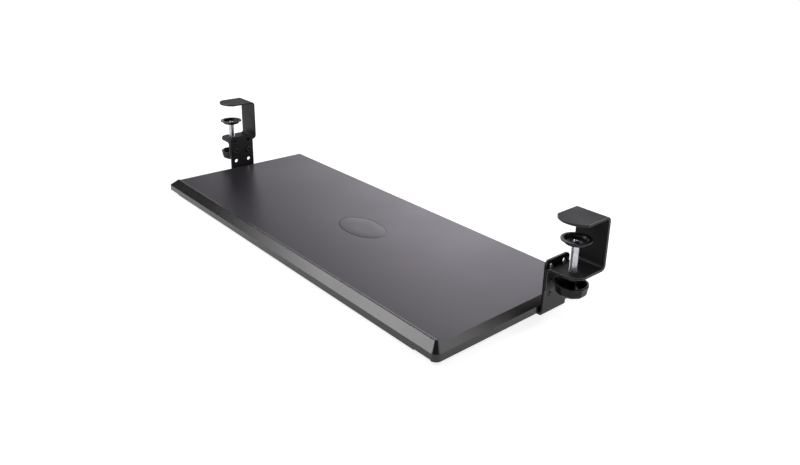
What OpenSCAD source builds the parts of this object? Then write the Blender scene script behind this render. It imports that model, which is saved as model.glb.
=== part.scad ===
/* [Tray] */
// Width of the tray over its skirt
tray_w = 670; // [600:1:760]
// Depth of the tray over its skirt
tray_d = 270; // [250:1:320]
// Height of the tray from the skirt's lower edge to the top surface
tray_h = 15.9; // [15.4:0.1:20]
// Thickness of the top panel
panel_t = 3; // [2:0.1:3.6]
// Thickness of the skirt wall
wall_t = 2.6; // [2:0.1:3]
// Width of the bevel along the sides and the front
bevel_w = 9; // [7:0.1:11]
// Height of the bevel below the top surface
bevel_h = 6.4; // [5:0.1:8]
// Width of the rear bevel, which climbs to the ridge
ridge_run = 11.4; // [9:0.1:14]
// Height of the rear ridge above the top surface
ridge_h = 3; // [1.5:0.1:5]
// Width of the ridge's flat crest
ridge_crest = 2; // [1:0.1:4]
// Corner radius of the skirt
corner_r = 8; // [5:0.5:14]
// Depth of the two shallow notches in the rear skirt
notch_h = 1.2; // [0.5:0.1:3]
// Thickness of the ribs under the panel
rib_t = 2; // [1.5:0.1:3]

/* [Badge] */
// Width of the bare oval badge
badge_w = 89; // [50:1:110]
// Depth of the bare oval badge
badge_d = 55; // [30:1:80]
// Thickness of the badge
badge_t = 0.4; // [0.2:0.1:1]
// Place of the badge across the tray
badge_x = -29; // [-150:1:150]
// Place of the badge along the tray
badge_y = -4; // [-60:1:60]

/* [Slides] */
// Width of the C-shaped rail
rail_w = 28; // [26:0.5:30]
// Height of the C-shaped rail
rail_h = 9.4; // [9:0.1:9.8]
// Sheet thickness of the rail
rail_t = 1.2; // [1:0.1:1.5]
// Width of each inturned lip of the rail
rail_lip = 7; // [5.5:0.1:8]
// Distance from the rail's middle to the tray's side
rail_inset = 22; // [21:0.5:26]
// Distance from each rail end to the tray's edge
rail_end_gap = 7; // [6:0.5:12]
// Length of the stop block in each rail end
stop_len = 6; // [4:0.5:10]
// Length of the glide shoe
shoe_len = 44; // [36:1:50]
// Thickness of the shoe's foot on the bracket
foot_t = 1.7; // [1.2:0.1:2]
// Play of the shoe in the rail, on each side
slide_play = 0.3; // [0.2:0.05:0.4]
// Gap between the bracket's flange and the tray's skirt
skirt_gap = 0.5; // [0.4:0.1:1]

/* [Brackets] */
// Sheet thickness of the slide brackets
sheet_t = 3; // [1.8:0.1:3.2]
// Length of a bracket along the tray
bracket_len = 45; // [45:1:52]
// Gap between the bracket and the tray's side
side_gap = 1.5; // [1.2:0.1:6]
// Corner radius at the top of a bracket
bracket_corner = 6; // [3:0.5:8]
// Outer bend radius of a bracket
bracket_bend = 4; // [3.4:0.1:5]
// Distance between the rows of height holes
row_pitch = 18.5; // [16:0.5:20]
// Distance between the two columns of height holes
column_pitch = 25; // [20:0.5:28]
// Radius of the height holes
height_hole_r = 3.3; // [3.2:0.1:3.6]

/* [Clamps] */
// Height of the lower jaw above the tray's top surface
jaw_rise = 46.2; // [42:0.1:60]
// Clear height between the two jaws
jaw_gap = 63.5; // [58:0.5:80]
// Width of the jaws
jaw_w = 45; // [45:0.5:52]
// Sheet thickness of the clamp
jaw_t = 3; // [2.5:0.1:3.5]
// Straight length of the jaws from the back of the clamp
jaw_straight = 42; // [40:0.5:48]
// How far the rounded jaw front stands past the straight sides
jaw_nose = 13; // [10:0.5:15]
// Outer bend radius of the clamp
jaw_bend = 6.8; // [4.5:0.1:7.2]
// Distance from the bracket's edge to the back of the clamp
back_gap = 9; // [8.5:0.1:13]

/* [Clamp screws] */
// Radius of the clamp screw
screw_r = 5; // [4:0.1:5.5]
// Distance from the bracket to the screw's axis
screw_u = 25.2; // [24.8:0.1:26]
// Distance from the back of the clamp to the screw's axis
screw_back = 36; // [34:0.5:38]
// Length from the knob's lower end to the pad's rim
screw_len = 71.5; // [64:0.5:74]
// Radius of the pressure pad
pad_r = 18.5; // [15:0.5:19]
// Depth of the dish in the pressure pad
pad_dish = 4; // [3:0.1:5]
// Radius of the knob at its widest
knob_r = 20.6; // [18:0.1:20.8]
// Height of the knob
knob_h = 14.5; // [14:0.5:17.5]
// Number of grip faces round the knob
knob_faces = 10; // [6:1:12]
// Height of the left pad's rim above the lower jaw
left_lift = 41.8; // [12:0.1:48]
// Height of the right pad's rim above the lower jaw
right_lift = 32.5; // [12:0.1:48]

/* [Places] */
// Place of the left clamp unit along its rail
left_y = -60; // [-90:1:90]
// Place of the right clamp unit along its rail
right_y = -9; // [-90:1:90]

/* [Hidden] */
$fn = 64;
eps = 0.01;
hull_fn = 32;

// Levels, measured from the lower face of the bracket flanges
flange_top = sheet_t;
skirt_z = flange_top + skirt_gap;
top_z = skirt_z + tray_h;
bevel_z = top_z - bevel_h;
panel_under = top_z - panel_t;
rail_bottom = flange_top + foot_t + slide_play;
rail_top = rail_bottom + rail_h;
jaw_low_top = top_z + jaw_rise;
jaw_low_under = jaw_low_top - jaw_t;
jaw_up_under = jaw_low_top + jaw_gap;
jaw_up_top = jaw_up_under + jaw_t;

// Tray corners, notches, ribs and badge recess
crest_r = 2;
crest_cut = 3;
crest_dip = 0.2;
cavity_step = 1.1;
notch_in = tray_w / 2 - rail_inset - rail_w / 2 + 1;
notch_out = tray_w / 2 - corner_r;
rib_drop = 7;
rib_rows = [-70, 0, 70];
rib_columns = [-240, -160, -80, 0, 80, 160, 240];
land_w = rail_w - 2;
badge_gap = 0.15;
badge_steps = 96;

// Rails, shoes and their fasteners
rail_x = tray_w / 2 - rail_inset;
rail_len = tray_d - 2 * rail_end_gap;
rail_inner_w = rail_w - 2 * rail_t;
slot_w = rail_w - 2 * rail_lip;
rail_screw_r = 1.75;
rail_screw_hole_r = 2.2;
rail_screw_head_r = 3.5;
rail_screw_head_h = 1.6;
rail_screw_skin = 1;
rail_screw_places = [-0.42, -0.15, 0.15, 0.42];
shoe_groove_w = 9;
shoe_groove_h = rail_screw_head_h + 0.4;
foot_w = rail_w + 2;
rivet_r = 2.5;
rivet_head_r = 4.4;
rivet_head_h = 1.6;
rivet_top = rail_top - rail_t - shoe_groove_h - 2;
rivet_pitch = shoe_len / 2;
rivet_sink = 0.2;

// Brackets and their bolts
unit_x = tray_w / 2 + side_gap + sheet_t;
flange_w = unit_x - rail_x + foot_w / 2;
bolt_r = 2.95;
bolt_hole_r = 3;
bolt_head_r = 5.5;
bolt_head_h = 2;
bolt_proud = 0.8;
row_margin = 8.5;
bolt_row_drop = 19.2;
bolt_z = jaw_low_top - bolt_row_drop;
bracket_top = bolt_z + row_pitch + row_margin;
tab_drop = bolt_row_drop + 11.5;

// Clamp outline, with y measured from the bracket's middle
back_y = -bracket_len / 2 - back_gap;
side_end_y = back_y + jaw_straight;
nose_y = side_end_y + jaw_nose;
nose_r = (jaw_w * jaw_w / 4 + jaw_nose * jaw_nose) / (2 * jaw_nose);
tab_y0 = -bracket_len / 2;
relief_w = 1.2;

// Clamp screw, pad and knob
screw_y = back_y + screw_back;
running_gap = 0.05;
jaw_hole_r = screw_r + 0.5;
bush_r = screw_r + 4;
bush_h = 7;
pad_t = 2;
pad_rim_w = 4.5;
pad_rim_fall = 0.5;
pad_rim_round = 0.6;
pad_wall_run = 1.4;
pad_well_r = pad_r - pad_rim_w - pad_wall_run;
neck_r = 2.5;
rivet_end_r = 3.6;
rivet_end_h = 1.3;
pad_play = 0.15;
knob_taper = 1.6;
knob_round = 1.2;
knob_foot_r = 6;
knob_low_r = knob_r - knob_taper;
knob_corner_r = knob_r + 0.3;
knob_cup_r = knob_r - 3.4;
knob_cup_taper = 2;
knob_cup_h = 9;
hub_r = screw_r + 3;
hub_h = 2;
screw_in_knob = 6;

// Puts a unit drawn for the right-hand side at its place on either side
module at_right() {
    translate([unit_x, right_y, 0]) children();
}

module at_left() {
    translate([-unit_x, left_y, 0]) mirror([1, 0, 0]) children();
}

// Four upright discs at the corners of a rectangle
module corner_discs(w, d, r, z, h) {
    for (sx = [-1, 1], sy = [-1, 1])
        translate([sx * (w / 2 - r), sy * (d / 2 - r), z])
            cylinder(r = r, h = h, $fn = hull_fn);
}

// Block with upright sides below and bevelled sides above
module bevelled_block(inset, low_z, mid_z, high_z, run) {
    w = tray_w - 2 * inset;
    d = tray_d - 2 * inset;
    hull() {
        corner_discs(w, d, corner_r - inset, low_z, mid_z - low_z);
        corner_discs(w - 2 * run, d - 2 * run, crest_r, high_z - eps, eps);
    }
}

// Raised ridge along the rear edge, with its long outer bevel
module rear_ridge() {
    crest_w = tray_w - 2 * ridge_run;
    rear = tray_d / 2;
    foot_y = rear - ridge_run - ridge_crest - ridge_h;
    hull() {
        for (sx = [-1, 1])
            translate([sx * (tray_w / 2 - corner_r), rear - corner_r, bevel_z - eps])
                cylinder(r = corner_r, h = eps, $fn = hull_fn);
        translate([crest_cut - crest_w / 2, rear - ridge_run - eps, top_z + ridge_h - eps])
            cube([crest_w - 2 * crest_cut, eps, eps]);
        translate([-crest_w / 2, rear - ridge_run - ridge_crest, top_z + ridge_h - crest_dip - eps])
            cube([crest_w, eps, eps]);
        translate([-tray_w / 2 + bevel_w, foot_y, panel_under])
            cube([tray_w - 2 * bevel_w, ridge_h, panel_t]);
    }
}

// Ribs under the panel, between the two rails
module panel_ribs() {
    span_x = 2 * (rail_x - rail_w / 2 - 6);
    span_y = tray_d - 2 * bevel_w;
    for (x = rib_columns)
        translate([x - rib_t / 2, -span_y / 2, panel_under - rib_drop])
            cube([rib_t, span_y, rib_drop + eps]);
    for (y = rib_rows)
        translate([-span_x / 2, y - rib_t / 2, panel_under - rib_drop])
            cube([span_x, rib_t, rib_drop + eps]);
}

// Raised lands that carry the rails
module rail_lands() {
    for (sx = [-1, 1])
        translate([sx * rail_x - land_w / 2, -rail_len / 2, rail_top])
            cube([land_w, rail_len, panel_under - rail_top + eps]);
}

module at_rail_screws() {
    for (sx = [-1, 1], f = rail_screw_places)
        translate([sx * rail_x, f * rail_len, 0]) children();
}

module tray_panel() {
    color("dimgray") difference() {
        union() {
            difference() {
                union() {
                    bevelled_block(0, skirt_z, bevel_z, top_z, bevel_w);
                    rear_ridge();
                }
                bevelled_block(wall_t, skirt_z - 1, bevel_z - cavity_step, panel_under,
                    bevel_w - wall_t + cavity_step);
            }
            panel_ribs();
            rail_lands();
        }
        for (sx = [-1, 1])
            translate([sx * (notch_in + notch_out) / 2 - (notch_out - notch_in) / 2,
                tray_d / 2 - wall_t - 1, skirt_z - 1])
                cube([notch_out - notch_in, wall_t + 2, notch_h + 1]);
        at_rail_screws()
            translate([0, 0, rail_top - 1])
                cylinder(r = rail_screw_r, h = top_z - rail_screw_skin - rail_top + 1);
        translate([badge_x, badge_y, top_z - badge_t])
            linear_extrude(badge_t + 1) badge_outline(badge_gap);
    }
}

// Oval outline of the badge, let out by a gap
module badge_outline(gap) {
    turn = 360 / badge_steps;
    polygon([for (i = [0 : badge_steps - 1])
        [(badge_w / 2 + gap) * cos(i * turn), (badge_d / 2 + gap) * sin(i * turn)]]);
}

// Bare oval, flush with the top surface
module badge_disc() {
    color("gray") translate([badge_x, badge_y, top_z - badge_t])
        linear_extrude(badge_t) badge_outline(0);
}

// C-shaped rail, open below
module c_rail(sx) {
    difference() {
        translate([sx * rail_x - rail_w / 2, -rail_len / 2, rail_bottom])
            cube([rail_w, rail_len, rail_h]);
        translate([sx * rail_x - rail_inner_w / 2, -rail_len / 2 - 1, rail_bottom + rail_t])
            cube([rail_inner_w, rail_len + 2, rail_h - 2 * rail_t]);
        translate([sx * rail_x - slot_w / 2, -rail_len / 2 - 1, rail_bottom - 1])
            cube([slot_w, rail_len + 2, rail_t + 2]);
        for (f = rail_screw_places)
            translate([sx * rail_x, f * rail_len, rail_top - rail_t - 1])
                cylinder(r = rail_screw_hole_r, h = rail_t + 2);
    }
}

module left_rail() { color("silver") c_rail(-1); }
module right_rail() { color("silver") c_rail(1); }

module rail_screws() {
    web_under = rail_top - rail_t;
    color("silver") at_rail_screws() {
        translate([0, 0, web_under - rail_screw_head_h])
            cylinder(r = rail_screw_head_r, h = rail_screw_head_h);
        translate([0, 0, web_under - eps])
            cylinder(r = rail_screw_r, h = top_z - rail_screw_skin - web_under);
    }
}

// Stop blocks in both ends of both rails
module rail_stops() {
    color("black") for (sx = [-1, 1], sy = [-1, 1])
        translate([sx * rail_x - rail_inner_w / 2,
            sy * (rail_len - stop_len) / 2 - stop_len / 2, rail_bottom + rail_t])
            cube([rail_inner_w, stop_len, rail_h - 2 * rail_t]);
}

// Upright plate with six height holes and a flange under the tray
module slide_bracket() {
    inner_bend = bracket_bend - sheet_t;
    difference() {
        union() {
            translate([-sheet_t, -bracket_len / 2, bracket_bend])
                cube([sheet_t, bracket_len, bracket_top - bracket_corner - bracket_bend]);
            translate([-sheet_t, -bracket_len / 2 + bracket_corner, bracket_top - bracket_corner - eps])
                cube([sheet_t, bracket_len - 2 * bracket_corner, bracket_corner + eps]);
            for (sy = [-1, 1])
                translate([-sheet_t, sy * (bracket_len / 2 - bracket_corner), bracket_top - bracket_corner])
                    rotate([0, 90, 0]) cylinder(r = bracket_corner, h = sheet_t);
            translate([-flange_w, -bracket_len / 2, 0])
                cube([flange_w - bracket_bend, bracket_len, sheet_t]);
            translate([-bracket_bend, -bracket_len / 2, bracket_bend])
                rotate([-90, 0, 0]) rotate_extrude(angle = 90)
                    translate([inner_bend, 0]) square([sheet_t, bracket_len]);
        }
        for (row = [-1, 0, 1], sy = [-1, 1])
            translate([-sheet_t - 1, sy * column_pitch / 2, bolt_z + row * row_pitch])
                rotate([0, 90, 0]) cylinder(r = height_hole_r, h = sheet_t + 2);
        at_rivets() {
            translate([0, 0, -1]) cylinder(r = rivet_r, h = sheet_t + 2);
            translate([0, 0, -eps]) cylinder(r1 = rivet_head_r, r2 = rivet_r, h = rivet_head_h);
        }
    }
}

module left_slide_bracket() { color("dimgray") at_left() slide_bracket(); }
module right_slide_bracket() { color("dimgray") at_right() slide_bracket(); }

module at_rivets() {
    for (sy = [-1, 1])
        translate([rail_x - unit_x, sy * rivet_pitch / 2, 0]) children();
}

// Glide shoe with an I-shaped section: foot, neck through the slot, head in the rail
module glide_shoe() {
    head_w = rail_inner_w - 2 * slide_play;
    neck_w = slot_w - 2 * slide_play;
    head_z = rail_bottom + rail_t + slide_play;
    head_top = rail_top - rail_t - slide_play;
    translate([rail_x - unit_x, 0, 0]) difference() {
        union() {
            translate([-foot_w / 2, -shoe_len / 2, flange_top])
                cube([foot_w, shoe_len, foot_t]);
            translate([-neck_w / 2, -shoe_len / 2, flange_top])
                cube([neck_w, shoe_len, head_z - flange_top + eps]);
            translate([-head_w / 2, -shoe_len / 2, head_z])
                cube([head_w, shoe_len, head_top - head_z]);
        }
        translate([-shoe_groove_w / 2, -shoe_len / 2 - 1, head_top - shoe_groove_h + slide_play])
            cube([shoe_groove_w, shoe_len + 2, shoe_groove_h + 1]);
        for (sy = [-1, 1])
            translate([0, sy * rivet_pitch / 2, flange_top - 1])
                cylinder(r = rivet_r, h = rivet_top - flange_top + 1);
    }
}

module left_glide_shoe() { color("black") at_left() glide_shoe(); }
module right_glide_shoe() { color("black") at_right() glide_shoe(); }

module shoe_rivets() {
    at_rivets() {
        translate([0, 0, rivet_sink]) cylinder(r = rivet_r, h = rivet_top - rivet_sink);
        translate([0, 0, rivet_sink])
            cylinder(r1 = rivet_head_r - 0.5, r2 = rivet_r, h = rivet_head_h - rivet_sink);
    }
}

module left_shoe_rivets() { color("silver") at_left() shoe_rivets(); }
module right_shoe_rivets() { color("silver") at_right() shoe_rivets(); }

// Quarter of a bent sheet whose axis runs along x, turned to its quadrant
module bend_along_x(turn, y, z, x0, x1) {
    translate([x0, y, z]) rotate([0, 90, 0]) rotate([0, 0, turn])
        rotate_extrude(angle = 90) translate([jaw_bend - jaw_t, 0]) square([jaw_t, x1 - x0]);
}

// Rounded front of a jaw, from one height
module jaw_nose_plate(z, x0) {
    intersection() {
        translate([jaw_w / 2, nose_y - nose_r, z]) cylinder(r = nose_r, h = jaw_t, $fn = 128);
        translate([x0, side_end_y - eps, z]) cube([jaw_w - x0, jaw_nose + 1, jaw_t]);
    }
}

// Bent sheet clamp: upper jaw, back, lower jaw and the tab that hangs on the bracket
module clamp_frame() {
    bend_y = back_y + jaw_bend;
    tab_bottom = jaw_low_top - tab_drop;
    tab_len = nose_y - tab_y0;
    strip_end = tab_y0 - relief_w;
    difference() {
        union() {
            translate([0, bend_y, jaw_up_under]) cube([jaw_w, side_end_y - bend_y, jaw_t]);
            jaw_nose_plate(jaw_up_under, 0);
            bend_along_x(180, bend_y, jaw_up_top - jaw_bend, 0, jaw_w);
            translate([0, back_y, jaw_low_under + jaw_bend])
                cube([jaw_w, jaw_t, jaw_up_top - jaw_low_under - 2 * jaw_bend]);
            bend_along_x(270, bend_y, jaw_low_under + jaw_bend, 0, jaw_w);
            translate([0, bend_y - eps, jaw_low_under])
                cube([jaw_w, strip_end - bend_y + eps, jaw_t]);
            translate([jaw_bend, bend_y, jaw_low_under])
                cube([jaw_w - jaw_bend, side_end_y - bend_y, jaw_t]);
            translate([jaw_bend, side_end_y - eps, jaw_low_under])
                cube([jaw_w / 2 - jaw_bend, jaw_nose + eps, jaw_t]);
            jaw_nose_plate(jaw_low_under, jaw_bend);
            translate([jaw_bend, tab_y0, jaw_low_top - jaw_bend])
                rotate([-90, 0, 0]) rotate([0, 0, 180]) rotate_extrude(angle = 90)
                    translate([jaw_bend - jaw_t, 0]) square([jaw_t, tab_len]);
            translate([0, tab_y0, tab_bottom])
                cube([jaw_t, tab_len, jaw_low_top - jaw_bend - tab_bottom]);
        }
        translate([screw_u, screw_y, jaw_low_under - 1])
            cylinder(r = jaw_hole_r, h = jaw_t + 2);
        for (sy = [-1, 1])
            translate([-1, sy * column_pitch / 2, bolt_z])
                rotate([0, 90, 0]) cylinder(r = bolt_hole_r, h = jaw_t + 2);
    }
}

module left_clamp_frame() { color("dimgray") at_left() clamp_frame(); }
module right_clamp_frame() { color("dimgray") at_right() clamp_frame(); }

// Threaded bush welded under the lower jaw
module thread_bush() {
    translate([screw_u, screw_y, jaw_low_under - bush_h]) difference() {
        cylinder(r = bush_r, h = bush_h);
        translate([0, 0, -1]) cylinder(r = screw_r + running_gap, h = bush_h + 2);
    }
}

module left_thread_bush() { color("dimgray") at_left() thread_bush(); }
module right_thread_bush() { color("dimgray") at_right() thread_bush(); }

// Low-headed bolts that tie the clamp's tab to the bracket
module bracket_bolts() {
    for (sy = [-1, 1])
        translate([0, sy * column_pitch / 2, bolt_z]) rotate([0, 90, 0]) {
            translate([0, 0, -sheet_t - bolt_head_h]) cylinder(r = bolt_head_r, h = bolt_head_h);
            translate([0, 0, -sheet_t - eps])
                cylinder(r = bolt_r, h = sheet_t + jaw_t + bolt_proud);
        }
}

module left_bracket_bolts() { color("black") at_left() bracket_bolts(); }
module right_bracket_bolts() { color("black") at_right() bracket_bolts(); }

// Places something measured from a pad's rim
module at_pad(lift) {
    translate([screw_u, screw_y, jaw_low_top + lift]) children();
}

// Pressure pad with a flat rim round a deep well, swivelling on the screw's riveted end
module pressure_pad(lift) {
    hole_r = neck_r + running_gap;
    under_r = pad_well_r + pad_t / 2;
    at_pad(lift) rotate_extrude($fn = 96) polygon([
        [hole_r, -pad_dish - pad_t], [under_r, -pad_dish - pad_t],
        [under_r + pad_wall_run, -pad_t - pad_rim_fall], [pad_r - pad_rim_round, -pad_t],
        [pad_r, pad_rim_round - pad_t], [pad_r, 0], [pad_r - pad_rim_w, -pad_rim_fall],
        [pad_well_r, -pad_dish], [hole_r, -pad_dish]
    ]);
}

module left_pressure_pad() { color("black") at_left() pressure_pad(left_lift); }
module right_pressure_pad() { color("black") at_right() pressure_pad(right_lift); }

// Screw with a riveted end in the dish, a neck in the pad and a shank down to the knob
module clamp_screw(lift) {
    shoulder = -pad_dish - pad_t - pad_play;
    end_z = -pad_dish + pad_play;
    shank_z = -screw_len + knob_h - knob_cup_h + hub_h - screw_in_knob;
    at_pad(lift) {
        translate([0, 0, end_z]) cylinder(r1 = rivet_end_r, r2 = neck_r, h = rivet_end_h);
        translate([0, 0, shoulder - eps]) cylinder(r = neck_r, h = end_z - shoulder + 2 * eps);
        translate([0, 0, shank_z]) cylinder(r = screw_r, h = shoulder - shank_z);
    }
}

module left_clamp_screw() { color("silver") at_left() clamp_screw(left_lift); }
module right_clamp_screw() { color("silver") at_right() clamp_screw(right_lift); }

// Tapered faceted knob with a rounded foot and a cup that takes the bush
module knob(lift) {
    cup_z = knob_h - knob_cup_h;
    foot_x = knob_low_r - knob_foot_r;
    foot = [for (a = [-90 : 15 : 0]) [foot_x + knob_foot_r * cos(a), knob_foot_r * (1 + sin(a))]];
    at_pad(lift) translate([0, 0, -screw_len]) difference() {
        union() {
            difference() {
                intersection() {
                    rotate([0, 0, 180 / knob_faces])
                        cylinder(r1 = knob_corner_r - knob_taper, r2 = knob_corner_r, h = knob_h,
                            $fn = knob_faces);
                    rotate_extrude($fn = 96) polygon(concat([[0, 0]], foot, [
                        [knob_r, knob_h - knob_round], [knob_r - knob_round, knob_h], [0, knob_h]
                    ]));
                }
                translate([0, 0, cup_z])
                    cylinder(r1 = knob_cup_r - knob_cup_taper, r2 = knob_cup_r, h = knob_cup_h + eps);
            }
            translate([0, 0, cup_z - eps]) cylinder(r = hub_r, h = hub_h + eps);
        }
        translate([0, 0, cup_z + hub_h - screw_in_knob])
            cylinder(r = screw_r, h = screw_in_knob + 1);
    }
}

module left_knob() { color("black") at_left() knob(left_lift); }
module right_knob() { color("black") at_right() knob(right_lift); }

tray_panel();
badge_disc();
left_rail();
right_rail();
rail_screws();
rail_stops();
left_slide_bracket();
right_slide_bracket();
left_glide_shoe();
right_glide_shoe();
left_shoe_rivets();
right_shoe_rivets();
left_clamp_frame();
right_clamp_frame();
left_thread_bush();
right_thread_bush();
left_bracket_bolts();
right_bracket_bolts();
left_pressure_pad();
right_pressure_pad();
left_clamp_screw();
right_clamp_screw();
left_knob();
right_knob();
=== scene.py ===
"""Looks of a clamp-on keyboard tray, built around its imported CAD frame.

+X is the user's right, +Y points away from the user towards the desk and +Z points up. Lengths are in
metres, apart from the turned profiles, which are in mm.
"""

import math

import bmesh
import bpy
from mathutils import Matrix, Vector


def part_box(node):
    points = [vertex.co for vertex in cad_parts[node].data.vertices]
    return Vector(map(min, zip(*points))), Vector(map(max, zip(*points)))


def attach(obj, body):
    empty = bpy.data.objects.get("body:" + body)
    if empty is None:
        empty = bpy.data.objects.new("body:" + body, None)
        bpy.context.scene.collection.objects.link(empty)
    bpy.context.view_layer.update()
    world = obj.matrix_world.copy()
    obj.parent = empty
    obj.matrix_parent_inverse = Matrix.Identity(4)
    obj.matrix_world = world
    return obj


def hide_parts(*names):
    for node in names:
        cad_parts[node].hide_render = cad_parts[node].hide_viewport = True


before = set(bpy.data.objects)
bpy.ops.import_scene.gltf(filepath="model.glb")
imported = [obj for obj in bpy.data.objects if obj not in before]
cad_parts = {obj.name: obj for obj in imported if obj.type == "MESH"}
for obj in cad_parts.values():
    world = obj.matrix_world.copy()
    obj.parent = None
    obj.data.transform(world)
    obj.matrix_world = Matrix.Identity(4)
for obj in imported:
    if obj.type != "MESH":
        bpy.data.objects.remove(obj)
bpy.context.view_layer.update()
scene = bpy.context.scene

MM = 0.001
SIDES = "left", "right"
UP = Vector((0, 0, 1))


# Shader nodes

# Grades of noise
CLOUDY = {"Detail": 4.0, "Roughness": 0.6}
FINE = {"Detail": 2.0, "Roughness": 0.5}
# Span of a noise value that is mapped to numbers and to tones
NUMBER_SPAN = 0.35, 0.65
TONE_SPAN = 0.3, 0.7


def add_node(tree, kind, **values):
    """A new node with its inputs or settings set by name."""
    node = tree.nodes.new(kind)
    for key, value in values.items():
        if key in node.inputs:
            node.inputs[key].default_value = value
        else:
            setattr(node, key, value)
    return node


def maths(tree, operation, a, b):
    """A Math node on two numbers or sockets."""
    node = add_node(tree, "ShaderNodeMath", operation=operation)
    for socket, value in zip(node.inputs, (a, b)):
        if isinstance(value, (int, float)):
            socket.default_value = value
        else:
            tree.links.new(value, socket)
    return node.outputs[0]


def product(tree, first, *others):
    """The product of several numbers or sockets."""
    for other in others:
        first = maths(tree, "MULTIPLY", first, other)
    return first


def mapped(tree, value, start, end, low, high, kind="LINEAR"):
    """Maps a span of a value to a range of numbers."""
    node = add_node(tree, "ShaderNodeMapRange", interpolation_type=kind)
    for key, number in zip(("From Min", "From Max", "To Min", "To Max"), (start, end, low, high)):
        node.inputs[key].default_value = number
    tree.links.new(value, node.inputs["Value"])
    return node.outputs["Result"]


def ease(tree, value, step):
    """A smooth step, given as start, end, level before and level after."""
    return mapped(tree, value, *step, "SMOOTHSTEP")


def noise(tree, coords, scale, grade, stretch=(1, 1, 1)):
    """Noise in object coordinates, in features per metre."""
    mapping = add_node(tree, "ShaderNodeMapping", Scale=stretch)
    tree.links.new(coords.outputs["Object"], mapping.inputs["Vector"])
    texture = add_node(tree, "ShaderNodeTexNoise", Scale=scale, **grade)
    tree.links.new(mapping.outputs["Vector"], texture.inputs["Vector"])
    return texture.outputs["Fac"]


def two_tone(tree, source, dark, light):
    """Maps a noise value to a colour between two."""
    ramp = add_node(tree, "ShaderNodeValToRGB")
    for element, place, colour in zip(ramp.color_ramp.elements, TONE_SPAN, (dark, light)):
        element.position = place
        element.color = (*colour, 1)
    tree.links.new(source, ramp.inputs["Fac"])
    return ramp.outputs["Color"]


def bump(tree, shader, source, strength, depth):
    """Gives a shader's surface the relief of a noise value."""
    node = add_node(tree, "ShaderNodeBump", Strength=strength, Distance=depth)
    tree.links.new(source, node.inputs["Height"])
    tree.links.new(node.outputs["Normal"], shader.inputs["Normal"])


# Materials

GRAIN_STRENGTH = 0.35
CLOUD_SCALE, DRAWN_SCALE = 120.0, 900.0
DRAWN_STRENGTH, DRAWN_DEPTH = 0.2, 0.02 * MM
# Painted shade on the screw's rod inside the knob's cup: its dark tone, and the height over which it fades in
PAINTED_SHADE_TONE = 0.035, 0.033, 0.030
PAINTED_SHADE_FADE = 1.5 * MM


def new_material(name):
    """A material, its node tree and its Principled shader."""
    material = bpy.data.materials.new(name)
    material.use_nodes = True
    return material, material.node_tree, material.node_tree.nodes["Principled BSDF"]


def coated(name, dark, light, rough, grain, depth, blotch=14.0, specular=0.5, tint=(1, 1, 1)):
    """Moulded plastic or coated steel: fine grain, soft blotches of tone and gloss."""
    material, tree, shader = new_material(name)
    coords = add_node(tree, "ShaderNodeTexCoord")
    soft = noise(tree, coords, blotch, CLOUDY)
    fine = noise(tree, coords, grain, FINE)
    tree.links.new(two_tone(tree, soft, dark, light), shader.inputs["Base Color"])
    tree.links.new(mapped(tree, soft, *NUMBER_SPAN, *rough), shader.inputs["Roughness"])
    shader.inputs["Specular IOR Level"].default_value = specular
    shader.inputs["Specular Tint"].default_value = (*tint, 1)
    bump(tree, shader, fine, GRAIN_STRENGTH, depth)
    return material


def plated(name, dark, light, rough, lines, shaded_below=None):
    """Bright zinc plate, drawn and slightly clouded, darkened with painted shade below a height."""
    material, tree, shader = new_material(name)
    coords = add_node(tree, "ShaderNodeTexCoord")
    cloud = noise(tree, coords, CLOUD_SCALE, CLOUDY)
    drawn = noise(tree, coords, DRAWN_SCALE, FINE, lines)
    tone = two_tone(tree, cloud, dark, light)
    # Painted shade: the rod turns dark below the given height, where the knob's cup shades it
    if shaded_below is not None:
        split = add_node(tree, "ShaderNodeSeparateXYZ")
        tree.links.new(coords.outputs["Object"], split.inputs[0])
        unshaded = mapped(tree, split.outputs["Z"], shaded_below - PAINTED_SHADE_FADE, shaded_below, 0.0, 1.0)
        mix = add_node(tree, "ShaderNodeMix", data_type="RGBA")
        mix.inputs["A"].default_value = (*PAINTED_SHADE_TONE, 1)
        tree.links.new(tone, mix.inputs["B"])
        tree.links.new(unshaded, mix.inputs["Factor"])
        tone = mix.outputs["Result"]
    tree.links.new(tone, shader.inputs["Base Color"])
    tree.links.new(mapped(tree, drawn, *NUMBER_SPAN, *rough), shader.inputs["Roughness"])
    shader.inputs["Metallic"].default_value = 1.0
    bump(tree, shader, drawn, DRAWN_STRENGTH, DRAWN_DEPTH)
    return material


TRAY_TONES = (0.009, 0.009, 0.009), (0.012, 0.012, 0.0115)
TOP_TONES = (0.0165, 0.0155, 0.0180), (0.0205, 0.0193, 0.0222)
FILM_TONES = (0.018, 0.018, 0.0178), (0.023, 0.023, 0.0227)
STEEL_TONES = (0.0055, 0.0055, 0.006), (0.0085, 0.0085, 0.009)
# Painted highlight: a much lighter tone for the clamp frames' rounded edges
EDGE_HIGHLIGHT_TONES = (0.050, 0.050, 0.051), (0.085, 0.085, 0.086)
PAD_TONES = (0.004, 0.004, 0.0045), (0.007, 0.007, 0.0075)
OXIDE_TONES = (0.010, 0.010, 0.011), (0.018, 0.018, 0.019)
PLASTIC_TONES = (0.006, 0.006, 0.0063), (0.010, 0.010, 0.0103)
KNOB_TONES = (0.005, 0.005, 0.0053), (0.008, 0.008, 0.0083)
ROD_TONES = (0.62, 0.64, 0.68), (0.76, 0.77, 0.79)
RAIL_TONES = (0.50, 0.51, 0.53), (0.62, 0.63, 0.65)

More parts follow.
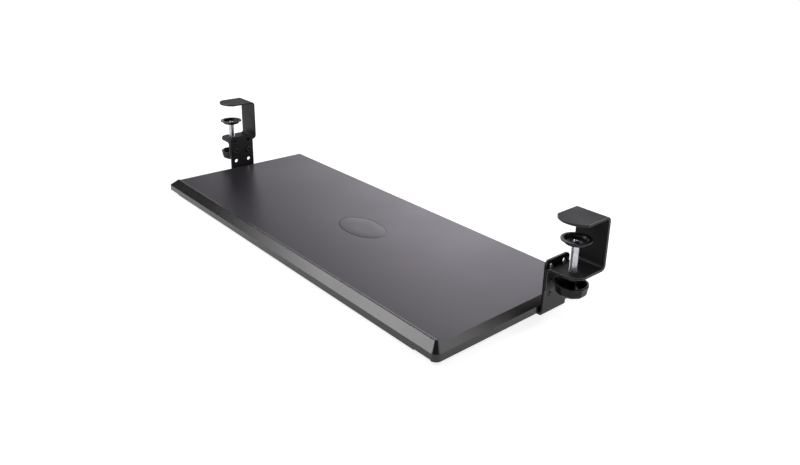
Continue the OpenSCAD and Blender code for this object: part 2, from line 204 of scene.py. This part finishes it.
tray_plastic = coated("tray_plastic", *TRAY_TONES, rough=(0.20, 0.24), grain=2600, depth=0.02 * MM)
tray_ends = coated("tray_ends", *TRAY_TONES, rough=(0.32, 0.37), grain=2600, depth=0.02 * MM)
tray_top = coated("tray_top", *TOP_TONES, rough=(0.33, 0.36), grain=3200, depth=0.01 * MM, blotch=9,
                  tint=(0.93, 0.90, 1.0))
badge_film = coated("badge_film", *FILM_TONES, rough=(0.34, 0.39), grain=3000, depth=0.01 * MM, blotch=40,
                    specular=0.58)
black_steel = coated("black_steel", *STEEL_TONES, rough=(0.44, 0.52), grain=1300, depth=0.05 * MM,
                     blotch=30, specular=0.42)
clamp_coat = coated("clamp_coat", *STEEL_TONES, rough=(0.54, 0.62), grain=1300, depth=0.05 * MM, blotch=30,
                    specular=0.33)
# The clamp frames' rounded edges carry a painted highlight in a lighter, glossier coat
clamp_edge_highlight = coated("clamp_edge_highlight", *EDGE_HIGHLIGHT_TONES, rough=(0.28, 0.38), grain=1300, depth=0.05 * MM, blotch=120,
                    specular=0.8)
pad_coat = coated("pad_coat", *PAD_TONES, rough=(0.28, 0.36), grain=1500, depth=0.03 * MM, blotch=60,
                  specular=0.38)
black_oxide = coated("black_oxide", *OXIDE_TONES, rough=(0.30, 0.42), grain=1800, depth=0.03 * MM, blotch=90)
black_plastic = coated("black_plastic", *PLASTIC_TONES, rough=(0.34, 0.42), grain=2200, depth=0.04 * MM,
                       blotch=60)
knob_plastic = coated("knob_plastic", *KNOB_TONES, rough=(0.30, 0.38), grain=2200, depth=0.04 * MM,
                      blotch=60, specular=0.19)
# The rod is darkened with painted shade below the bush, inside the knob's cup
zinc_rod = plated("zinc_rod", *ROD_TONES, rough=(0.16, 0.30), lines=(1, 1, 0.2),
                  shaded_below=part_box("left_thread_bush")[0].z)
zinc_rail = plated("zinc_rail", *RAIL_TONES, rough=(0.26, 0.40), lines=(1, 0.06, 1))


# Meshes

# Angles in degrees below which edges are shaded smooth and faces are joined
SMOOTH_BELOW, FLAT_BELOW = 35.0, 0.6
# Distance within which points are joined
WELD = 1e-6
ROUND_STEPS, ROUND_PROFILE = 5, 0.5


def middle(lo, hi, z):
    """The point at a height on the upright axis of a box."""
    return Vector(((lo.x + hi.x) / 2, (lo.y + hi.y) / 2, z))


def add_object(name, bm, material, body, smooth=SMOOTH_BELOW):
    """Turns a bmesh into a piece that rides on a body, smooth below an angle in degrees."""
    bmesh.ops.recalc_face_normals(bm, faces=bm.faces[:])
    limit = math.radians(smooth)
    for f in bm.faces:
        f.smooth = True
    for e in bm.edges:
        e.smooth = len(e.link_faces) == 2 and e.calc_face_angle(0.0) < limit
    mesh = bpy.data.meshes.new(name)
    bm.to_mesh(mesh)
    bm.free()
    obj = bpy.data.objects.new(name, mesh)
    scene.collection.objects.link(obj)
    mesh.materials.append(material)
    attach(obj, body)
    return obj


def softened(node, material, body, width, segments=2, angle=30.0, rounder=None, edge=None, plain=None):
    """A copy of a CAD node with its edges rounded, standing for that node.

    A rounder names edges to be rounded first, and by how much. With a material for the edges, plain ones
    stay sharp, so that the others can have their full width.
    """
    bm = bmesh.new()
    bm.from_mesh(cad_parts[node].data)
    bmesh.ops.remove_doubles(bm, verts=bm.verts[:], dist=WELD)
    bmesh.ops.dissolve_limit(bm, angle_limit=math.radians(FLAT_BELOW), verts=bm.verts[:], edges=bm.edges[:])
    limit = math.radians(angle)
    if rounder:
        edges, offset = rounder(bm)
        bmesh.ops.bevel(bm, geom=edges, offset=offset, segments=ROUND_STEPS, profile=ROUND_PROFILE,
                        affect="EDGES")
    if edge:
        weight = bm.edges.layers.float.new("bevel_weight_edge")
        for e in bm.edges:
            e[weight] = float(e.calc_face_angle(0.0) > limit and not plain(e))
    obj = add_object(node + "_soft", bm, material, body)
    bevel = obj.modifiers.new("round", "BEVEL")
    bevel.width = width
    bevel.segments = segments
    bevel.limit_method = "WEIGHT" if edge else "ANGLE"
    bevel.angle_limit = limit
    if edge:
        obj.data.materials.append(edge)
        bevel.material = 1
    obj.modifiers.new("normals", "WEIGHTED_NORMAL").keep_sharp = True
    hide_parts(node)
    return obj


def arc(cx, cz, r, start, end, steps):
    """Points of an arc in a profile, angles in degrees."""
    span = [math.radians(start + (end - start) * i / steps) for i in range(steps + 1)]
    return [(cx + r * math.cos(a), cz + r * math.sin(a)) for a in span]


def lathe(bm, profile, steps, radius_of=None):
    """Turns a profile of (radius, height) points about the z axis.

    A profile with neither end on the axis is closed on itself.
    """
    rings = []
    for k, (r, z) in enumerate(profile):
        if not r:
            rings.append([bm.verts.new((0, 0, z))])
            continue
        ring = []
        for i in range(steps):
            a = 2 * math.pi * i / steps
            reach = radius_of(k, r, a) if radius_of else r
            ring.append(bm.verts.new((reach * math.cos(a), reach * math.sin(a), z)))
        rings.append(ring)
    pairs = list(zip(rings, rings[1:]))
    if len(rings[0]) > 1 and len(rings[-1]) > 1:
        pairs.append((rings[-1], rings[0]))
    for low, high in pairs:
        for i in range(steps):
            j = (i + 1) % steps
            quad = [low[i % len(low)], low[j % len(low)], high[j % len(high)], high[i % len(high)]]
            quad = [v for n, v in enumerate(quad) if v not in quad[:n]]
            if len(quad) > 2:
                bm.faces.new(quad)


def turned(name, profile, foot, material, body, steps, outward=None, radius_of=None):
    """A turned piece of (radius, height) points in mm, upright or lying along an outward direction."""
    bm = bmesh.new()
    lathe(bm, [(r * MM, z * MM) for r, z in profile], steps, radius_of)
    if outward is not None:
        tilt = UP.rotation_difference(outward).to_matrix()
        bmesh.ops.rotate(bm, verts=bm.verts[:], matrix=tilt)
    bmesh.ops.translate(bm, verts=bm.verts[:], vec=foot)
    obj = add_object(name, bm, material, body)
    return obj


# Points of a thread's form: part of the pitch and part of the depth
THREAD_FORM = (0.0, 0), (0.30, 0), (0.56, 1), (0.74, 1)
THREAD_STEPS = 24
# Turns by which the form goes past each end of the rod before it is cut off there
THREAD_SPARE = 1.5


def threaded_rod(bm, low, high, outer, core, pitch):
    """Single-start thread about the z axis, running out at both ends."""
    columns = []
    for k in range(int((high - low) / pitch + 2 * THREAD_SPARE) * THREAD_STEPS + 1):
        turns = k / THREAD_STEPS
        a = 2 * math.pi * turns
        column = []
        for part, depth in THREAD_FORM:
            z = min(max(low + pitch * (turns + part - THREAD_SPARE), low), high)
            fade = min(1.0, (z - low) / pitch, (high - z) / pitch)
            r = core + (outer - core) * depth * fade
            column.append(bm.verts.new((r * math.cos(a), r * math.sin(a), z)))
        columns.append(column)
    for k, (here, there) in enumerate(zip(columns, columns[1:])):
        for i in range(len(THREAD_FORM) - 1):
            bm.faces.new((here[i], there[i], there[i + 1], here[i + 1]))
        above = columns[k + THREAD_STEPS:k + THREAD_STEPS + 2]
        if len(above) == 2:
            bm.faces.new((here[-1], there[-1], above[1][0], above[0][0]))
    bmesh.ops.remove_doubles(bm, verts=bm.verts[:], dist=WELD)
    bmesh.ops.dissolve_degenerate(bm, edges=bm.edges[:], dist=WELD / 10)
    bmesh.ops.holes_fill(bm, edges=[e for e in bm.edges if e.is_boundary], sides=0)


# Turned profiles: (radius, height) points in mm

RAIL_SCREW = [
    (0, 0.95), (1.0, 0.95), (1.75, 0.0), *arc(2.6, 0.9, 0.9, -90, 0, 4), (3.5, 1.6), (1.75, 1.6),
    (1.75, 6.6), (0, 6.6)]
BUSH = [
    (5.05, 0.6), (5.6, 0), (8.2, 0), (9, 0.8), (9, 5.4), (9.5, 5.7), (9.9, 6.3), (10.1, 7), (5.05, 7)]
BOLT = [
    (0, 1.5), (2.0, 1.3), (2.0, 0.15), (2.5, 0), *arc(4.6, 0.9, 0.9, -90, 0, 4), (5.5, 1.95), (5.2, 2),
    (2.95, 2), (2.95, 8.2), (2.4, 8.8), (1.2, 8.8), (0, 8.6)]
RIVET = [
    (0, 0.35), (0.9, 0.3), (1.3, 0.05), (2.6, 0), (3.5, 0.08), (3.88, 0.25), (2.5, 1.4), (2.5, 8.2), (0, 8.2)]
# Heights of the pad and of the screw's end count down from the pad's rim
PAD = [
    (2.55, -6), (12.9, -6), (13.4, -5.8), (13.8, -5.3), (14.5, -3.2), (15.0, -2.6), (15.8, -2.4),
    (17.6, -2.05), *arc(17.75, -1.2, 0.75, -60, 20, 4), *arc(17.9, -0.6, 0.6, 20, 90, 4), (17.2, -0.03),
    (14.9, -0.35), (14.3, -0.5), (13.8, -0.9), (13.0, -3.2), (12.5, -3.8), (11.9, -4), (6.2, -4),
    (5.9, -4.15), (2.55, -4.15)]
ROD_END = [
    (0, -6.4), (2.5, -6.4), (2.5, -3.9), (3.3, -3.85), (3.6, -3.6), (3.55, -3.3), (3.1, -2.9), (2.3, -2.65),
    (1.6, -2.6), (1.1, -2.75), (0.8, -3.0), (0, -3.1)]
KNOB_FOOT = [(0, 0.5), (6.0, 0.5), (6.6, 0.05), (7.0, 0), (11.0, 0), *arc(13.0, 6.0, 6.0, -90, 0, 8)]
KNOB_SIDE = [(19.3, 7.8), (19.65, 9.8), (20.05, 11.8), (20.3, 13.1), *arc(19.4, 13.4, 1.1, 0, 90, 6)]
KNOB_CUP = [
    (18.2, 14.5), (17.5, 14.2), (17.15, 13.6), (15.7, 7.2), (15.2, 5.9), (14.4, 5.5), (8.9, 5.5), (8.2, 5.9),
    (8.0, 6.5), (8.0, 7.2), (7.7, 7.5), (5.05, 7.5), (5.05, 1.5), (0, 1.5)]

# Rings of a profile that have a form of their own
RECESS_RINGS = 1, 2
GRIP_RINGS = range(7, 25)

# Reach and half width of a cross recess's arms, and the size of its floor
CROSS_ARM, CROSS_HALF = 1.75 * MM, 0.42 * MM
CROSS_FLOOR = 0.75
SOCKET_APOTHEM = 2.0 * MM
# The knob's flats lie at this part of its radius; a higher power gives them sharper corners
KNOB_FACES = 10
KNOB_FLAT = 19.88 / 20.6
KNOB_POWER, KNOB_SWELL = 70, 1.004


def cross_recess(ring, r, a):
    """Radius of a screw at an angle, with a cross of four equal arms in its head."""
    if ring not in RECESS_RINGS:
        return r
    fold = a % (math.pi / 2)
    fold = min(fold, math.pi / 2 - fold)
    on_arm_end = math.tan(fold) < CROSS_HALF / CROSS_ARM
    reach = CROSS_ARM / math.cos(fold) if on_arm_end else CROSS_HALF / math.sin(fold)
    return reach * (CROSS_FLOOR if ring == RECESS_RINGS[0] else 1.0)


def hex_socket(ring, r, a):
    """Radius of a bolt at an angle, with a hexagon in its head."""
    if ring not in RECESS_RINGS:
        return r
    return SOCKET_APOTHEM / math.cos(a % (math.pi / 3) - math.pi / 6)


def knob_face(ring, r, a):
    """Radius of the knob at an angle, with softened corners between the flats of its outer rings."""
    if ring not in GRIP_RINGS:
        return r
    step = 2 * math.pi / KNOB_FACES
    flat = r * KNOB_FLAT / math.cos((a + step / 2) % step - step / 2)
    soft = (r ** -KNOB_POWER + flat ** -KNOB_POWER) ** (-1 / KNOB_POWER)
    return min(r, soft * KNOB_SWELL)


# Tray

# Difference in height that still counts as level
LEVEL = 0.05 * MM
# Least parts of a face's normal: up for a flat face, up and sideways for a bevel
FACING_UP, SLOPING_UP, SLOPING_OUT = 0.99, 0.6, 0.4
CREST_ROUND = 1.1 * MM
RAIL_SCREW_R = 3.5 * MM
# Places of a rail's screws, as parts of its length
RAIL_SCREW_ROW = -0.42, -0.15, 0.15, 0.42


def crest_edge(bm):
    """The ridge's outer edge, which is rounder than the others, and its radius."""
    high = max(v.co.z for v in bm.verts)
    return [e for e in bm.edges if all(high - v.co.z < LEVEL for v in e.verts)], CREST_ROUND


tray = softened("tray_panel", tray_plastic, "tray", width=0.7 * MM, segments=3, angle=25, rounder=crest_edge)
tray.data.materials.append(tray_top)
tray.data.materials.append(tray_ends)
top_z = max((f for f in tray.data.polygons if f.normal.z > FACING_UP), key=lambda f: f.area).center.z
# The flat top and the bevels at both ends have finishes of their own
for f in tray.data.polygons:
    if f.normal.z > FACING_UP and abs(f.center.z - top_z) < LEVEL:
        f.material_index = 1
    elif f.normal.z > SLOPING_UP and abs(f.normal.x) > SLOPING_OUT > 2 * abs(f.normal.y):
        f.material_index = 2
softened("rail_stops", black_plastic, "tray", width=0.4 * MM)
for side in SIDES:
    softened(side + "_rail", zinc_rail, "tray", width=0.25 * MM)

badge_lo, badge_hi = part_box("badge_disc")
badge_size = badge_hi - badge_lo


def oval(ring, r, a):
    """Radius of the badge at an angle, its outline set in evenly from the rim."""
    short = r - (badge_size.x - badge_size.y) / 2
    return r * short / math.hypot(short * math.cos(a), r * math.sin(a))


rim, top = badge_size.x / 2 / MM, badge_size.z / MM
badge = turned("badge_plate", [
    (0, 0), (rim - 0.2, 0), (rim, 0.06), (rim - 0.15, top - 0.26), (rim - 0.35, top - 0.16),
    (rim - 1.3, top - 0.03), (rim - 1.7, top), (rim - 18, top), (0, top)],
    middle(badge_lo, badge_hi, badge_lo.z), badge_film, "tray", steps=192, radius_of=oval)
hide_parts("badge_disc")

# Pan-head screws with a cross recess, heads down in the rails
lo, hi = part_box("rail_screws")
for letter, x in ("l", lo.x + RAIL_SCREW_R), ("r", hi.x - RAIL_SCREW_R):
    for k, part in enumerate(RAIL_SCREW_ROW):
        y = part / RAIL_SCREW_ROW[-1] * (hi.y - RAIL_SCREW_R)
        turned("rail_screw_%s%d" % (letter, k), RAIL_SCREW, Vector((x, y, lo.z)), zinc_rail,
                             "tray", steps=64, radius_of=cross_recess)
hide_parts("rail_screws")


# Units: one clamp with its bracket, screw, pad and knob on each side

# Radius of a bolt's head, and one that is just wider than a bolt's hole
BOLT_R, BOLT_RIM = 5.5 * MM, 4 * MM
ROD_R, ROD_CORE_R, ROD_PITCH = 5.0 * MM, 4.2 * MM, 1.5 * MM
# Top of the thread, from the pad's rim, and the angle below which it is shaded smooth
ROD_TOP, ROD_SMOOTH = -6.15 * MM, 40


def near_axes(ys, z, reach):
    """A test for edges that lie close to one of several axes along x."""
    return lambda e: all(min(math.hypot(v.co.y - y, v.co.z - z) for y in ys) < reach for v in e.verts)


for side in SIDES:
    unit, pad, screw = side + "_unit", side + "_pad", side + "_screw"
    bolts_lo, bolts_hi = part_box(side + "_bracket_bolts")
    bolt_z = (bolts_lo.z + bolts_hi.z) / 2
    bolt_ys = bolts_lo.y + BOLT_R, bolts_hi.y - BOLT_R
    softened(side + "_slide_bracket", black_steel, unit, width=0.35 * MM)
    # The frame's rounded edges take the painted edge highlight
    softened(side + "_clamp_frame", clamp_coat, unit, width=0.5 * MM, segments=3, edge=clamp_edge_highlight,
             plain=near_axes(bolt_ys, bolt_z, BOLT_RIM))
    softened(side + "_glide_shoe", black_plastic, unit, width=0.4 * MM)

    # Turned bush with a weld bead under the jaw
    lo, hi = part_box(side + "_thread_bush")
    bush = turned(side + "_bush", BUSH, middle(lo, hi, lo.z), black_steel, unit, steps=64)
    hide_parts(side + "_thread_bush")

    # Low-headed socket bolts, ends showing on the tab
    head_x, out = (bolts_hi.x, -1) if side == "left" else (bolts_lo.x, 1)
    bolts = [turned("%s_bolt_%d" % (side, k), BOLT, Vector((head_x, y, bolt_z)), black_oxide, unit,
                    steps=48, outward=Vector((out, 0, 0)), radius_of=hex_socket)
             for k, y in enumerate(bolt_ys)]
    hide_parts(side + "_bracket_bolts")

    # Flush rivets through the flange
    lo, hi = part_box(side + "_shoe_rivets")
    rivet_x, rivet_r = (lo.x + hi.x) / 2, (hi.x - lo.x) / 2
    rivets = [turned("%s_rivet_%d" % (side, k), RIVET, Vector((rivet_x, y, lo.z)), zinc_rail, unit,
                     steps=48)
              for k, y in enumerate((lo.y + rivet_r, hi.y - rivet_r))]
    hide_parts(side + "_shoe_rivets")

    # Pressed pad: flat rim round a deep well
    lo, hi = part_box(side + "_pressure_pad")
    pad_top = middle(lo, hi, hi.z)
    dish = turned(side + "_pad_dish", PAD, pad_top, pad_coat, pad, steps=96)
    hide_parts(side + "_pressure_pad")

    # Threaded screw with a peened end in the well
    rod_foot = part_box(side + "_clamp_screw")[0].z - pad_top.z
    bm = bmesh.new()
    threaded_rod(bm, rod_foot, ROD_TOP, ROD_R, ROD_CORE_R, ROD_PITCH)
    bmesh.ops.translate(bm, verts=bm.verts[:], vec=pad_top)
    rod = add_object(side + "_rod", bm, zinc_rod, screw, ROD_SMOOTH)
    turned(side + "_rod_end", ROD_END, pad_top, zinc_rod, screw, steps=48)
    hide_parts(side + "_clamp_screw")

    # Faceted knob with a rounded foot, a deep cup and a hub
    knob_foot = Vector((pad_top.x, pad_top.y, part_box(side + "_knob")[0].z))
    grip = turned(side + "_grip", KNOB_FOOT + KNOB_SIDE + KNOB_CUP, knob_foot, knob_plastic, screw,
                  steps=160, radius_of=knob_face)
    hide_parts(side + "_knob")


# Stage: floor, light, camera

# Glow of the floor near the part and tone of its paper
FLOOR_GLOW, FLOOR_TONE = 0.82, 0.42
# Distances between which the floor turns plain white
FLOOR_FADE = 0.5, 1.3
# Reach of the floor's flat middle, outer reach and steepness of its rise, all far beyond the part
FLOOR_FLAT, FLOOR_END, FLOOR_RISE = 7, 14, 0.047
FLOOR_GAP = 0.5 * MM

# Levels of the wall on the user's side, of the band on the desk's side and of the room
WALL, BAND, ROOM = 3.62, 0.9, 0.05
ROOM_TINT = 1.02, 0.968, 1.05
# Least y or -y that x and z are divided by
AHEAD_MIN = 0.02
# Smooth steps (start, end, level before, level after) of the wall over x / -y and over z / -y
WALL_LEFT = 0.45, 0.85, 0.15, 1.0
WALL_RIGHT = 0.90, 1.65, 0.65, 0.0
WALL_FAR_RIGHT = 1.4, 2.7, 0.50, 0.08
WALL_FOOT = 0.22, 0.55, 0.45, 1.0
WALL_HEAD = 0.53, 0.98, 1.0, 0.05
# And of the band over x / y and over z
BAND_LEFT = -3.0, -1.8, 0.0, 1.0
BAND_RIGHT = 0.2, 0.9, 1.0, 0.0
BAND_FOOT = 0.02, 0.2, 0.3, 1.0
BAND_HEAD = 0.40, 0.58, 1.0, 0.0

# Lamps: place, aim, size and radiance
LAMPS = {
    "key_right": ((1.059, 0.830, 1.480), (0, 0.05, 0.02), (1.0, 0.88), 4.1),
    "key_right_edge": ((1.117, 0.873, 1.410), (0, 0.05, 0.02), (1.0, 1.08), 2.6),
    "top_front": ((-0.70, -1.25, 1.60), (0, 0, 0.02), (1.5, 1.2), 3.2),
}

# Camera fitted to the tray's edges in the photo, with its focal length in the photo's pixels
CAMERA_AT = -0.8029, 0.5974, 0.4487
CAMERA_AHEAD = 0.7136, -0.6206, -0.3249
CAMERA_ROLL = math.radians(1.15)
CAMERA_SHIFT = -0.08
SENSOR_WIDTH = 36.0
FOCAL_PIXELS, PHOTO_WIDTH = 719.2, 800


def stage_floor():
    """White sheet: takes the object's shadow close by, runs out to plain white and curves up far off."""
    material, tree, shader = new_material("floor_white")
    tree.nodes.remove(shader)
    path = add_node(tree, "ShaderNodeLightPath")
    seen = maths(tree, "MAXIMUM", path.outputs["Is Camera Ray"], path.outputs["Is Glossy Ray"])
    seen = maths(tree, "MAXIMUM", seen, path.outputs["Is Transmission Ray"])
    coords = add_node(tree, "ShaderNodeTexCoord")
    reach = add_node(tree, "ShaderNodeVectorMath", operation="LENGTH")
    tree.links.new(coords.outputs["Object"], reach.inputs[0])
    level = ease(tree, reach.outputs["Value"], (*FLOOR_FADE, FLOOR_GLOW, 1.0))
    glow = add_node(tree, "ShaderNodeEmission")
    tree.links.new(maths(tree, "MULTIPLY", seen, level), glow.inputs["Strength"])
    paper = add_node(tree, "ShaderNodeBsdfDiffuse", Color=(FLOOR_TONE, FLOOR_TONE, FLOOR_TONE, 1))
    both = add_node(tree, "ShaderNodeAddShader")
    tree.links.new(paper.outputs[0], both.inputs[0])
    tree.links.new(glow.outputs[0], both.inputs[1])
    tree.links.new(both.outputs[0], tree.nodes["Material Output"].inputs["Surface"])
    bm = bmesh.new()
    rise = [(r, FLOOR_RISE * (r - FLOOR_FLAT) ** 2) for r in range(FLOOR_FLAT, FLOOR_END + 1)]
    lathe(bm, [(0, 0), *rise], steps=96)
    mesh = bpy.data.meshes.new("floor")
    bm.to_mesh(mesh)
    bm.free()
    floor = bpy.data.objects.new("floor", mesh)
    floor.location.z = -FLOOR_GAP
    scene.collection.objects.link(floor)
    mesh.materials.append(material)


def stage_world():
    """Dim room: a pale wall on the user's side and a fainter band opposite."""
    scene.world = bpy.data.worlds.new("studio")
    scene.world.use_nodes = True
    tree = scene.world.node_tree
    coords = add_node(tree, "ShaderNodeTexCoord")
    split = add_node(tree, "ShaderNodeSeparateXYZ")
    tree.links.new(coords.outputs["Generated"], split.inputs[0])
    x, y, z = (split.outputs[axis] for axis in "XYZ")

    # The user's side: fades upwards and to both sides
    ahead = maths(tree, "MAXIMUM", maths(tree, "MULTIPLY", y, -1.0), AHEAD_MIN)
    slope = maths(tree, "DIVIDE", z, ahead)
    aside = maths(tree, "DIVIDE", x, ahead)
    across = maths(tree, "ADD", ease(tree, aside, WALL_RIGHT), ease(tree, aside, WALL_FAR_RIGHT))
    wall = product(tree, across, ease(tree, aside, WALL_LEFT), ease(tree, slope, WALL_FOOT),
                   ease(tree, slope, WALL_HEAD), WALL)

    # The desk's side: a low band behind the left end
    behind = maths(tree, "DIVIDE", x, maths(tree, "MAXIMUM", y, AHEAD_MIN))
    band = product(tree, ease(tree, behind, BAND_LEFT), ease(tree, behind, BAND_RIGHT),
                   ease(tree, z, BAND_FOOT), ease(tree, z, BAND_HEAD), BAND)

    back = tree.nodes["Background"]
    tree.links.new(maths(tree, "ADD", maths(tree, "ADD", wall, band), ROOM), back.inputs["Strength"])
    back.inputs["Color"].default_value = (*ROOM_TINT, 1)


def softbox(name, at, aim, size, radiance):
    """A rectangular lamp that looks equally bright at any size."""
    light = bpy.data.lights.new(name, "AREA")
    light.shape = "RECTANGLE"
    light.size, light.size_y = size
    light.energy = radiance * math.pi * size[0] * size[1]
    obj = bpy.data.objects.new(name, light)
    obj.location = at
    obj.rotation_euler = (Vector(aim) - Vector(at)).to_track_quat("-Z", "Y").to_euler()
    scene.collection.objects.link(obj)


def stage_camera():
    """The photo's camera, rolled a little about its line of sight."""
    camera = bpy.data.cameras.new("camera")
    camera.sensor_width = SENSOR_WIDTH
    camera.lens = FOCAL_PIXELS / PHOTO_WIDTH * SENSOR_WIDTH
    camera.shift_y = CAMERA_SHIFT
    obj = bpy.data.objects.new("camera", camera)
    scene.collection.objects.link(obj)
    ahead = Vector(CAMERA_AHEAD).normalized()
    right = ahead.cross(UP).normalized()
    above = right.cross(ahead)
    across = math.cos(CAMERA_ROLL) * right + math.sin(CAMERA_ROLL) * above
    upward = -math.sin(CAMERA_ROLL) * right + math.cos(CAMERA_ROLL) * above
    turn = Matrix((across, upward, -ahead)).transposed().to_4x4()
    obj.matrix_world = Matrix.Translation(CAMERA_AT) @ turn
    scene.camera = obj


stage_floor()
stage_world()
for name, lamp in LAMPS.items():
    softbox(name, *lamp)
stage_camera()
scene.view_settings.view_transform = "Standard"
